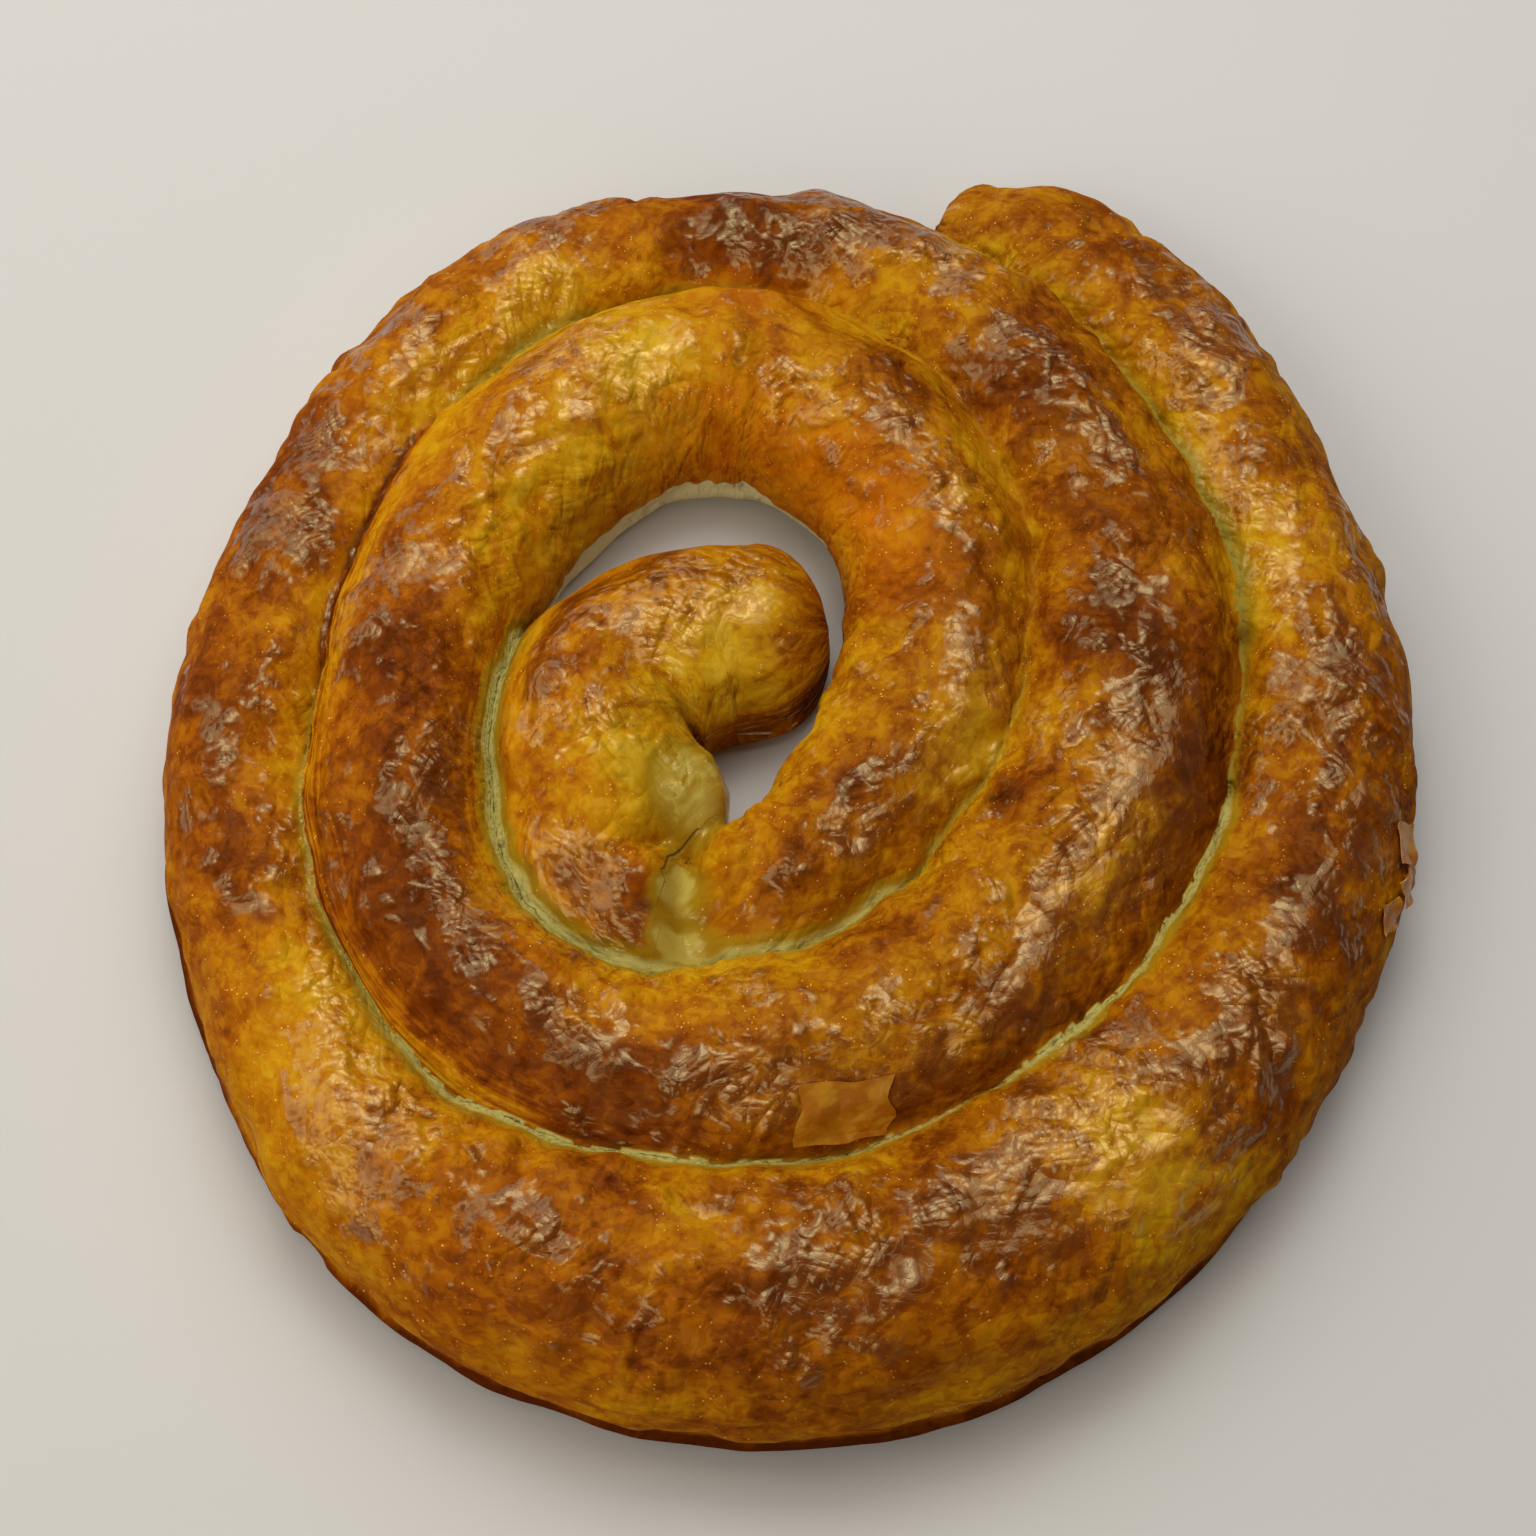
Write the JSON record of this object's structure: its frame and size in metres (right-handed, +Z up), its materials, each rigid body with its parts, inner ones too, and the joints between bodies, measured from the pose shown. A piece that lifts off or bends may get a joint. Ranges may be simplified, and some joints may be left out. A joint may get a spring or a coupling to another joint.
{
  "type": "coiled potato borek",
  "caption": "Baked potato borek: a filled roll of thin dough wound into a flat coil, its inner end hooked into a small open gap in the middle.",
  "frame": {"origin": "centre of the bounding box at the flat underside", "axes": "+Z up from the underside, +Y towards the back, where the roll's outer end is, -Y towards the viewer"},
  "size_m": [0.2352, 0.2686, 0.0357],
  "materials": {
    "crust": "glossy, unevenly browned baked dough"
  },
  "bodies": {
    "root": {"borek_coil": "crust"}
  },
  "joints": []
}
